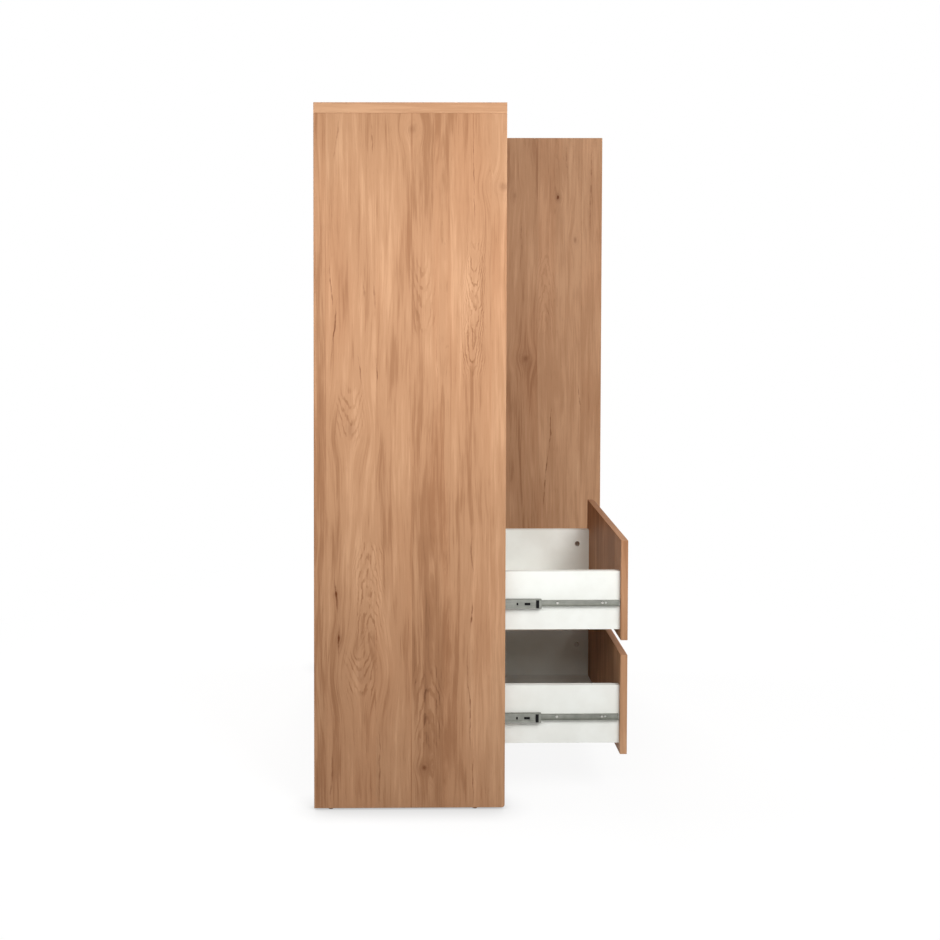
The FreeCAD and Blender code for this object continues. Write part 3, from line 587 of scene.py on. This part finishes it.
def uneven_planks(g, across, seed, pale):
    """Tones of planks of uneven width, for a board with none of its own."""
    cells = g.node("ShaderNodeTexVoronoi", voronoi_dimensions="1D")
    g.feed(cells.inputs["W"], g.add(across, PLANK_STEP * seed))
    g.feed(cells.inputs["Scale"], 1.0 / PLANK_WIDTH)
    g.feed(cells.inputs["Randomness"], PLANK_UNEVEN)
    split = g.node("ShaderNodeSeparateColor")
    g.feed(split.inputs[0], cells.outputs["Color"])
    return g.add(PLANK_DARKEST + pale, g.mul(split.outputs[0], PLANK_RANGE))


def oak_decor(g, axes, seed, marks=Marks(), pale=0.0):
    """Colour, height and roughness of a board. A board with no planks of its own can be paler or darker."""
    across, along, through = board_places(g, axes)
    dark, arched, parted = 0.0, 0.0, across
    for arch in marks.arches:
        arched = g.call(ARCH, shift=arched, across=across, along=along, **arch._asdict())["shift"]
    for crack in marks.cracks:
        dark = g.call(CRACK, dark=dark, across=across, along=along, **crack._asdict())["dark"]
    for knot in marks.knots:
        parted, dark = g.call(KNOT, dark=dark, across=parted, along=along, **knot._asdict())
    if marks.planks:
        plank = own_planks(g, across, marks.planks)
    else:
        plank = uneven_planks(g, across, seed, pale)
    return g.call(GRAIN, across=g.add(parted, through, ACROSS_STEP * seed),
                  along=g.add(along, ALONG_STEP * seed), plank=plank, shift=arched, dark=dark)


def oak(name, axes, seed, marks=Marks(), pale=0.0):
    """A board with oak decor all round."""
    material, g, shader = start_material(name, Specular_IOR_Level=OAK_SHINE)
    colour, height, rough = oak_decor(g, axes, seed, marks, pale)
    surface(g, shader, colour, rough, height, OAK_RELIEF)
    return material


# Other finishes

FLECK_SHARE = 0.86
RAW_STOPS = ((0.32, tone(128, 94, 66)), (0.52, tone(150, 113, 81)), (0.7, tone(172, 135, 100)))
WHITE_LOW, WHITE_HIGH = tone(235, 236, 230), tone(242, 244, 239)
WHITE_ROUGH = (0.42, 0.52)
WHITE_SHINE = 0.15
WHITE_RELIEF = 0.04 * MM
STEEL_RELIEF = 0.03 * MM
STEEL_SMOOTHER, STEEL_ROUGHER = 0.06, 0.08
DRAWN_SHARE = 0.5
PLASTIC_RELIEF = 0.04 * MM
PLASTIC_SMOOTHER, PLASTIC_ROUGHER = 0.05, 0.07
WOOD_RELIEF = 0.1 * MM
WOOD_ROUGH, WOOD_SHINE = 0.75, 0.25


def raw_fibre(g, places):
    """Colour of raw pressed fibre at a place."""
    fleck = g.speckle(places, scale=420.0, detail=4.0, roughness=0.65)
    cloud = g.speckle(places, scale=9.0, detail=3.0)
    return g.ramp(g.add(g.mul(fleck, FLECK_SHARE), g.mul(cloud, 1.0 - FLECK_SHARE)), RAW_STOPS)


def back_board(name, axes, seed):
    """Oak decor on the face inside, raw pressed fibre on the face behind."""
    material, g, shader = start_material(name, Specular_IOR_Level=OAK_SHINE)
    decor, height, rough = oak_decor(g, axes, seed)
    behind = g.math("GREATER_THAN", g.coordinates("Normal")[AXES.index("y")], FACING)
    colour = g.blend(behind, decor, raw_fibre(g, g.coordinates("Object")))
    surface(g, shader, colour, rough, height, OAK_RELIEF)
    return material


def white_melamine(name, bare_below=False):
    """White decor; a drawer's bottom board has it above only and is raw pressed fibre below."""
    material, g, shader = start_material(name, Specular_IOR_Level=WHITE_SHINE)
    places = g.coordinates("Object")
    mottle = g.speckle(places, scale=14.0, detail=4.0)
    grit = g.speckle(places, scale=900.0, detail=2.0)
    colour = g.tint(mottle, WHITE_LOW, WHITE_HIGH)
    if bare_below:
        below = g.math("LESS_THAN", g.coordinates("Normal")[AXES.index("z")], -FACING)
        colour = g.blend(below, colour, raw_fibre(g, places))
    surface(g, shader, colour, g.vary(mottle, *WHITE_ROUGH), grit, WHITE_RELIEF)
    return material


def steel(name, low, high, rough, along):
    """Plated sheet steel with fine drawing lines along one axis and a cloudy plating."""
    material, g, shader = start_material(name, Metallic=1.0)
    places = g.coordinates("Object")
    drawn = g.lines(places, along, lengthways=20.0, sideways=1600.0, detail=3.0)
    cloud = g.speckle(places, scale=60.0, detail=3.0)
    mix = g.add(g.mul(drawn, DRAWN_SHARE), g.mul(cloud, 1.0 - DRAWN_SHARE))
    uneven = g.vary(mix, rough - STEEL_SMOOTHER, rough + STEEL_ROUGHER)
    surface(g, shader, g.tint(mix, low, high), uneven, drawn, STEEL_RELIEF)
    return material


def plastic(name, low, high, rough, shine=0.5):
    """Moulded plastic with a fine grain and a slightly cloudy colour."""
    material, g, shader = start_material(name, Specular_IOR_Level=shine)
    places = g.coordinates("Object")
    grain = g.speckle(places, scale=1400.0, detail=2.0)
    cloud = g.speckle(places, scale=70.0, detail=2.0)
    uneven = g.vary(grain, rough - PLASTIC_SMOOTHER, rough + PLASTIC_ROUGHER)
    surface(g, shader, g.tint(cloud, low, high), uneven, grain, PLASTIC_RELIEF)
    return material


def raw_wood(name, low, high, along):
    """Bare wood with its fibres along one axis."""
    material, g, shader = start_material(name, Specular_IOR_Level=WOOD_SHINE)
    fibre = g.lines(g.coordinates("Object"), along, lengthways=30.0, sideways=700.0, detail=3.0)
    surface(g, shader, g.tint(fibre, low, high), WOOD_ROUGH, fibre, WOOD_RELIEF)
    return material


# Finishes on the model's own boards and fittings

def dress(finish, *names):
    """Give nodes of the model a finish."""
    for name in names:
        NODES[name].material_slots[0].material = finish


dress(oak("oak_left_side", SIDE_BOARD, 0, LEFT_PANEL), "left_side_panel")
dress(oak("oak_right_door", SIDE_BOARD, 3, RIGHT_DOOR_MARKS_AND_SHADE), "right_door")
dress(oak("oak_right_side", SIDE_BOARD, 5), "right_side_panel")
dress(oak("oak_partition", SIDE_BOARD, 7), "middle_partition")
dress(oak("oak_fronts", FRONT_BOARD, 11, pale=FRONTS_PALE), "left_door", "upper_drawer_front",
      "lower_drawer_front")
dress(oak("oak_top", LYING_BOARD, 13, pale=TOP_PALE), "top_panel")
dress(oak("oak_boards", LYING_BOARD, 17), "bottom_panel", "fixed_shelf", "drawer_divider")
dress(oak("oak_shelves", LYING_BOARD, 19), "left_shelf_1", "left_shelf_2", "right_shelf_1", "right_shelf_2",
      "right_shelf_3", "right_shelf_4")
dress(oak("oak_plinth", PLINTH_BOARD, 23), "plinth_board")
dress(back_board("back_board", FRONT_BOARD, 9), "back_panel")

WHITE = white_melamine("white_melamine")
WHITE_ABOVE = white_melamine("white_above", bare_below=True)
ZINC = steel("slide_zinc", tone(117, 118, 112), tone(148, 149, 142), rough=0.38, along="y")
NICKEL = steel("fitting_nickel", tone(176, 174, 170), tone(216, 214, 210), rough=0.27, along="z")
BLACK = plastic("black_plastic", tone(12, 12, 13), tone(20, 20, 21), rough=0.55, shine=0.12)
GREY = plastic("grey_plastic", tone(126, 126, 126), tone(140, 140, 140), rough=0.5)
GLIDE = plastic("glide_plastic", tone(96, 68, 50), tone(112, 80, 60), rough=0.5)
BEECH = raw_wood("beech_dowel", tone(196, 162, 118), tone(222, 190, 146), along="x")

for level in LEVELS:
    dress(WHITE, *(f"{level}_drawer_{word}" for word in ("left_side", "right_side", "back")))
    dress(WHITE_ABOVE, f"{level}_drawer_bottom")
    for side in SIDES:
        dress(ZINC, *(f"{level}_{side}_slide_{word}" for word in ("outer", "middle", "inner")))
    dress(BLACK, f"{level}_slide_cages")
    dress(NICKEL, f"{level}_drawer_fittings")
    dress(GREY, f"{level}_drawer_latch_plunger")
for side in SIDES:
    dress(NICKEL, f"{side}_hinge_cups", f"{side}_hinge_pins")
    dress(GREY, f"{side}_door_latch_plunger")
dress(NICKEL, "hinge_plates", "hinge_arms", "shelf_pins", "cam_discs", "cam_bolts")
dress(GREY, "latch_housings")
dress(GLIDE, "floor_glides")
dress(BEECH, "wood_dowels")


# Building pieces

def neighbours(ring):
    """Each point of a closed ring with the one after it."""
    return list(zip(ring, ring[1:] + ring[:1]))


def bridge(bm, lower, upper, smooth=False):
    """Faces between two rings of as many points."""
    for (first, second), (third, fourth) in zip(neighbours(lower), neighbours(upper)):
        bm.faces.new((first, second, fourth, third)).smooth = smooth


def add_object(name, data):
    """A new object in the scene."""
    made = bpy.data.objects.new(name, data)
    bpy.context.scene.collection.objects.link(made)
    return made


def mesh_object(name, bm, material):
    """A new object from a finished mesh, with its material."""
    mesh = bpy.data.meshes.new(name)
    bm.to_mesh(mesh)
    bm.free()
    mesh.materials.append(material)
    return add_object(name, mesh)


def make_piece(name, bm, material, body):
    """A piece that rides on a body, with the finish it is given."""
    bmesh.ops.recalc_face_normals(bm, faces=bm.faces)
    piece = mesh_object(name, bm, material)
    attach(piece, body)


def face_x(low, high, towards):
    """The x of a box's left or right face."""
    return high.x if towards > 0.0 else low.x


# Screws. Heads are given by radius and height, and their profile and cross recess are shares of these.

HEAD_SEGMENTS = 28
HEAD_PROFILE = ((1.0, 0.0), (1.0, 0.35), (0.93, 0.68), (0.80, 0.90), (0.70, 1.0))
CROSS_ARM, CROSS_HALF, CROSS_FLOOR = 0.58, 0.15, 0.35
SLIDE_HEAD = (3.1 * MM, 1.5 * MM)
CUP_HEAD = (3.6 * MM, 1.6 * MM)
PLATE_HEAD = (3.4 * MM, 1.6 * MM)

# Slide screws: places from the drawer member's front end, and the thickness of its sheet
SLIDE_SCREWS = (35.5 * MM, 130.9 * MM, 298.0 * MM)
SLIDE_GAUGE = 1.2 * MM

# Hinge screws: hinges on each door, the way from the end of the cups' box to a hinge's middle, how far the
# screws are from that middle, and where they sit on the plates, measured into the plates' box
HINGE_COUNTS = {"left": 2, "right": 3}
HINGE_END = 31.0 * MM
CUP_SCREW_RISE = 24.5 * MM
PLATE_SCREW_RISE = 16.0 * MM
PLATE_SEAT_X, PLATE_SEAT_Y = 4.0 * MM, 11.0 * MM


def cross_corners():
    """The outline of the cross recess, as shares of the head's radius."""
    corners = []
    for quarter in range(4):
        spin = Matrix.Rotation(quarter * math.pi / 2.0, 3, "Z")
        for x, y in ((CROSS_HALF, -CROSS_HALF), (CROSS_ARM, -CROSS_HALF), (CROSS_ARM, CROSS_HALF)):
            corners.append((spin @ Vector((x, y, 0.0))).xy)
    return corners


def add_screw(bm, spot, normal, radius, height):
    """A low pan head with a cross recess, its underside on the spot and its axis along the normal."""
    turn = Vector((0, 0, 1)).rotation_difference(Vector(normal)).to_matrix().to_4x4()
    place = Matrix.Translation(Vector(spot)) @ turn

    def ring_of(points, share, rise):
        return [bm.verts.new(place @ Vector((share * radius * x, share * radius * y, rise * height)))
                for x, y in points]

    angles = [2.0 * math.pi * step / HEAD_SEGMENTS for step in range(HEAD_SEGMENTS)]
    circle = [(math.cos(angle), math.sin(angle)) for angle in angles]
    rings = [ring_of(circle, share, rise) for share, rise in HEAD_PROFILE]
    for lower, upper in zip(rings, rings[1:]):
        bridge(bm, lower, upper, smooth=True)
    bm.faces.new(list(reversed(rings[0])))
    mouth = ring_of(cross_corners(), 1.0, 1.0)
    floor = ring_of(cross_corners(), 1.0, CROSS_FLOOR)
    bridge(bm, mouth, floor)
    bm.faces.new(floor)
    rim = [bm.edges.get(pair) for ring in (rings[-1], mouth) for pair in neighbours(ring)]
    bmesh.ops.triangle_fill(bm, edges=rim, use_beauty=True, normal=Vector(normal))


def screws(name, body, spots, normal, head):
    """Screws with one kind of head and one direction, as one piece."""
    bm = bmesh.new()
    for spot in spots:
        add_screw(bm, spot, normal, *head)
    make_piece(name, bm, NICKEL, body)


def hinge_levels(low, high, count):
    """Heights of a door's hinges, evenly spaced over the box of their cups."""
    first, last = low.z + HINGE_END, high.z - HINGE_END
    return [first + (last - first) * step / (count - 1) for step in range(count)]


def pairs_at(x, y, levels, rise):
    """Places of two screws at each level, one under it and one over it."""
    return [(x, y, level + sign * rise) for level in levels for sign in (-1.0, 1.0)]


for level in LEVELS:
    for side, towards in SIDES.items():
        low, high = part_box(f"{level}_{side}_slide_inner")
        web = face_x(low, high, -towards) + towards * SLIDE_GAUGE
        spots = [(web, low.y + start, (low.z + high.z) / 2.0) for start in SLIDE_SCREWS]
        screws(f"{level}_{side}_slide_screws", f"{level}_drawer", spots, (towards, 0.0, 0.0), SLIDE_HEAD)

# The closed left door's cups face the back and the open right door's cups face the left.
plates_low, plates_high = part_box("hinge_plates")
for side, towards in SIDES.items():
    low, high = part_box(f"{side}_hinge_cups")
    centre = (low + high) / 2.0
    levels = hinge_levels(low, high, HINGE_COUNTS[side])
    if side == "left":
        cup_spots, cup_normal = pairs_at(centre.x, high.y, levels, CUP_SCREW_RISE), (0.0, 1.0, 0.0)
    else:
        cup_spots, cup_normal = pairs_at(low.x, centre.y, levels, CUP_SCREW_RISE), (-1.0, 0.0, 0.0)
    screws(f"{side}_cup_screws", f"{side}_door_leaf", cup_spots, cup_normal, CUP_HEAD)
    plate_x = face_x(plates_low, plates_high, towards) - towards * PLATE_SEAT_X
    plate_spots = pairs_at(plate_x, plates_low.y + PLATE_SEAT_Y, levels, PLATE_SCREW_RISE)
    screws(f"{side}_plate_screws", "carcass", plate_spots, (-towards, 0.0, 0.0), PLATE_HEAD)


# Black plugs in the slots of the slides' middle members. Rings: inset and rise. Slots: start and length.

PLUG_RINGS = ((0.0, 0.0), (0.0, 1.2 * MM), (0.4 * MM, 1.6 * MM), (1.0 * MM, 1.6 * MM), (1.3 * MM, 1.2 * MM))
PLUG_SLOTS = ((23.5 * MM, 12.5 * MM), (49.0 * MM, 4.0 * MM))
PLUG_QUARTERS = ((1, 1), (-1, 1), (-1, -1), (1, -1))
PLUG_HALF = 2.6 * MM
PLUG_CORNER = 1.4 * MM
PLUG_STEPS = 5
PLUG_PLAY = 0.2 * MM
PLUG_SINK = 2.8 * MM


def add_plug(bm, base, towards, half_y, half_z):
    """A round-cornered plug with a bevelled, dished face, standing on its base towards one side."""
    rings = []
    for inset, rise in PLUG_RINGS:
        ring = []
        for quarter, (side_y, side_z) in enumerate(PLUG_QUARTERS):
            for step in range(PLUG_STEPS + 1):
                angle = (quarter + step / PLUG_STEPS) * math.pi / 2.0
                y = side_y * (half_y - PLUG_CORNER) + (PLUG_CORNER - inset) * math.cos(angle)
                z = side_z * (half_z - PLUG_CORNER) + (PLUG_CORNER - inset) * math.sin(angle)
                ring.append(bm.verts.new(base + Vector((towards * rise, y, z))))
        rings.append(ring)
    for lower, upper in zip(rings, rings[1:]):
        bridge(bm, lower, upper)
    bm.faces.new(rings[0])
    bm.faces.new(rings[-1])


for level in LEVELS:
    for side, towards in SIDES.items():
        low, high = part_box(f"{level}_{side}_slide_middle")
        seat_x = face_x(low, high, towards) - towards * PLUG_SINK
        plugs = bmesh.new()
        for start, length in PLUG_SLOTS:
            base = Vector((seat_x, low.y + start + length / 2.0, (low.z + high.z) / 2.0))
            add_plug(plugs, base, towards, length / 2.0 - PLUG_PLAY, PLUG_HALF)
        make_piece(f"{level}_{side}_slide_plugs", plugs, BLACK, f"{level}_slide")


# Floor and light. Lamps: name, place, what it points at, width and height, power in watts.

AMBIENT = 0.10
PLAIN_WHITE = (1.0, 1.0, 1.0, 1.0)
LAMPS = (
    ("key", (-2.0, -1.0, 2.2), (-0.3, 0.0, 0.8), (1.2, 1.2), 48.0),
    ("fill", (-1.3, 0.2, 1.05), (-0.3, 0.0, 1.05), (1.6, 0.4), 7.3),
    ("low_fill", (-2.2, -0.4, 0.22), (-0.3, 0.0, 0.3), (1.2, 0.4), 2.6),
    ("right", (3.0, 0.2, 2.0), (0.3, 0.0, 0.8), (1.4, 1.4), 70.0),
    ("behind", (0.4, 3.2, 2.0), (0.0, 0.3, 0.8), (1.6, 1.6), 85.0),
    ("front", (0.7, -3.4, 1.2), (0.2, 0.0, 0.8), (1.6, 1.6), 52.0),
)

# Floor: half its size, its tone for light, its glow, which fades to white further off, and the painted
# contact shade in that glow
FLOOR_HALF = 40.0
FLOOR_TONE = 0.5
FLOOR_ROUGH = 0.9
FLOOR_GLOW = 0.90
FADE_NEAR, FADE_FAR = 0.5, 1.6
PAINTED_CONTACT_REACH = 0.065
PAINTED_CONTACT_SHADE = 0.5


def seen_directly(g):
    """1 for what the camera sees, straight, in a gloss or through glass, and 0 for light that is sent on."""
    rays = g.node("ShaderNodeLightPath")
    seen = g.math("MAXIMUM", rays.outputs["Is Camera Ray"], rays.outputs["Is Glossy Ray"])
    return g.math("MAXIMUM", seen, rays.outputs["Is Transmission Ray"])


def floor_finish():
    """A pale floor with the object's shadow, white further away, and painted shade that darkens its glow
    close to what stands on it.
    """
    material, g, shader = start_material("pale_floor", Roughness=FLOOR_ROUGH, Specular_IOR_Level=0.0)
    seen = seen_directly(g)
    g.feed(shader.inputs["Base Color"], g.pick(seen, FLOOR_TONE, 1.0))
    # Painted contact shade: ambient occlusion dims the floor's glow close to what stands on it.
    painted_contact = g.node("ShaderNodeAmbientOcclusion")
    g.feed(painted_contact.inputs["Distance"], PAINTED_CONTACT_REACH)
    glow = g.node("ShaderNodeEmission")
    g.feed(glow.inputs["Strength"], g.span(painted_contact.outputs["AO"], 0.0, 1.0, PAINTED_CONTACT_SHADE, 1.0, smooth=False))
    source = g.node("ShaderNodeTexCoord")
    far = g.node("ShaderNodeVectorMath", operation="LENGTH")
    g.feed(far.inputs[0], source.outputs["Object"])
    share = g.mul(seen, g.span(far.outputs["Value"], FADE_NEAR, FADE_FAR, FLOOR_GLOW, 1.0))
    g.feed(material.node_tree.nodes["Material Output"].inputs["Surface"], g.mix_shaders(share, shader, glow))
    return material


def make_floor():
    """A floor that reaches past every view."""
    bm = bmesh.new()
    bmesh.ops.create_grid(bm, x_segments=2, y_segments=2, size=FLOOR_HALF)
    floor = mesh_object("floor", bm, floor_finish())


def make_world():
    """Soft light from all round, and plain white where the camera sees it."""
    world = bpy.data.worlds.new("studio")
    world.use_nodes = True
    bpy.context.scene.world = world
    g = Graph(world.node_tree)
    soft = world.node_tree.nodes["Background"]
    g.feed(soft.inputs["Color"], PLAIN_WHITE)
    g.feed(soft.inputs["Strength"], AMBIENT)
    white = g.node("ShaderNodeBackground")
    g.feed(white.inputs["Color"], PLAIN_WHITE)
    both = g.mix_shaders(seen_directly(g), soft, white)
    g.feed(world.node_tree.nodes["World Output"].inputs["Surface"], both)


def aim(holder, place, direction):
    """Put a lamp or the camera at a place and turn it in a direction."""
    holder.location = place
    holder.rotation_mode = "QUATERNION"
    holder.rotation_quaternion = direction.to_track_quat("-Z", "Y")


def make_lamp(name, place, target, size, power):
    """A soft rectangular lamp that the camera doesn't see."""
    light = bpy.data.lights.new(name, "AREA")
    light.shape = "RECTANGLE"
    light.size, light.size_y = size
    light.energy = power
    holder = add_object(name, light)
    holder.visible_camera = False
    aim(holder, place, Vector(target) - Vector(place))


# Camera: at the left side and almost level, with the frame shifted down and towards the front as in the
# photograph. The slight tilt and turn keep that shift small.

PICTURE = 940
FOCAL_PX = 1268.4
CENTRE_PX = (366.25, 258.94)
CAMERA_AT = (-3.0446, 0.2965, 1.2487)
CAMERA_TILT = math.radians(2.0)
CAMERA_TURN = math.radians(0.627)
SENSOR_LONG = 36.0
SENSOR_SHORT = 24.0


def make_camera():
    """The photograph's camera, with its lens and frame from the values in pixels."""
    lens = bpy.data.cameras.new("camera")
    lens.sensor_fit = "VERTICAL"
    lens.sensor_height = SENSOR_LONG
    lens.sensor_width = SENSOR_SHORT
    lens.lens = FOCAL_PX * SENSOR_LONG / PICTURE
    lens.shift_x = (PICTURE / 2.0 - CENTRE_PX[0]) / PICTURE
    lens.shift_y = -(PICTURE / 2.0 - CENTRE_PX[1]) / PICTURE
    holder = add_object("camera", lens)
    level = math.cos(CAMERA_TILT)
    ahead = (level * math.cos(CAMERA_TURN), -level * math.sin(CAMERA_TURN), -math.sin(CAMERA_TILT))
    aim(holder, CAMERA_AT, Vector(ahead))
    bpy.context.scene.camera = holder


make_floor()
make_world()
for row in LAMPS:
    make_lamp(*row)
make_camera()
bpy.context.scene.view_settings.view_transform = "Standard"
